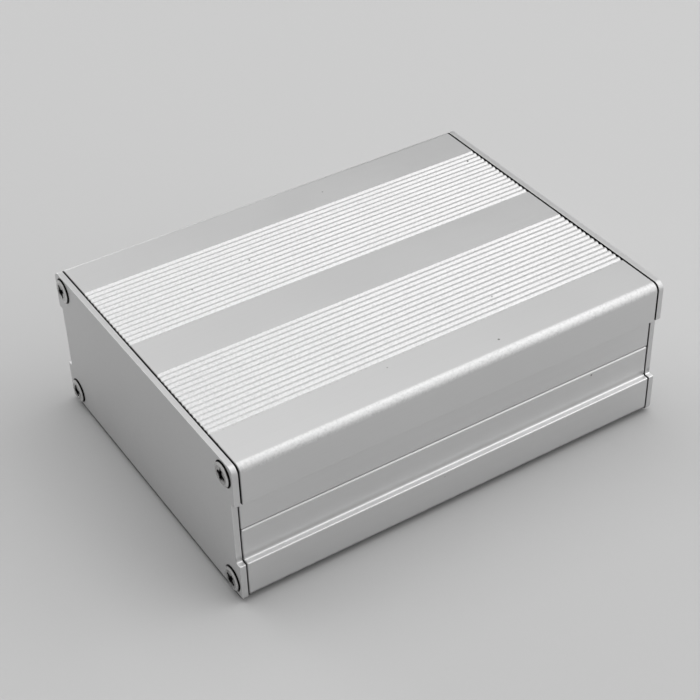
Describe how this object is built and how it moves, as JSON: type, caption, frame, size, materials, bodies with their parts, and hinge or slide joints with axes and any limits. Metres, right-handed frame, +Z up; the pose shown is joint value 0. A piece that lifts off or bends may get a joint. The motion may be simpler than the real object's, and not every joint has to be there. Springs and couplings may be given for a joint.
{
  "type": "extruded aluminium enclosure",
  "caption": "Split extruded aluminium case for a circuit board: two lapping shells with grooved bands on top and waisted sides, closed by flat end plates with countersunk cross-recess screws.",
  "frame": {"origin": "middle of the base, on the surface that the case stands on", "axes": "+X along the extrusion from the front plate to the rear plate, +Y across the width, +Z up through the grooved top"},
  "size_m": [0.1042, 0.0764, 0.0338],
  "materials": {
    "shell_aluminium": "clear anodised extrusion, fine lines along its length, satin",
    "plate_aluminium": "clear anodised sheet, matt",
    "plated_steel": "nickel plated steel, bright"
  },
  "bodies": {
    "root": {"top_shell": "shell_aluminium", "bottom_shell": "shell_aluminium", "front_plate": "plate_aluminium", "rear_plate": "plate_aluminium", "front_screws": "plated_steel", "rear_screws": "plated_steel"}
  },
  "joints": []
}
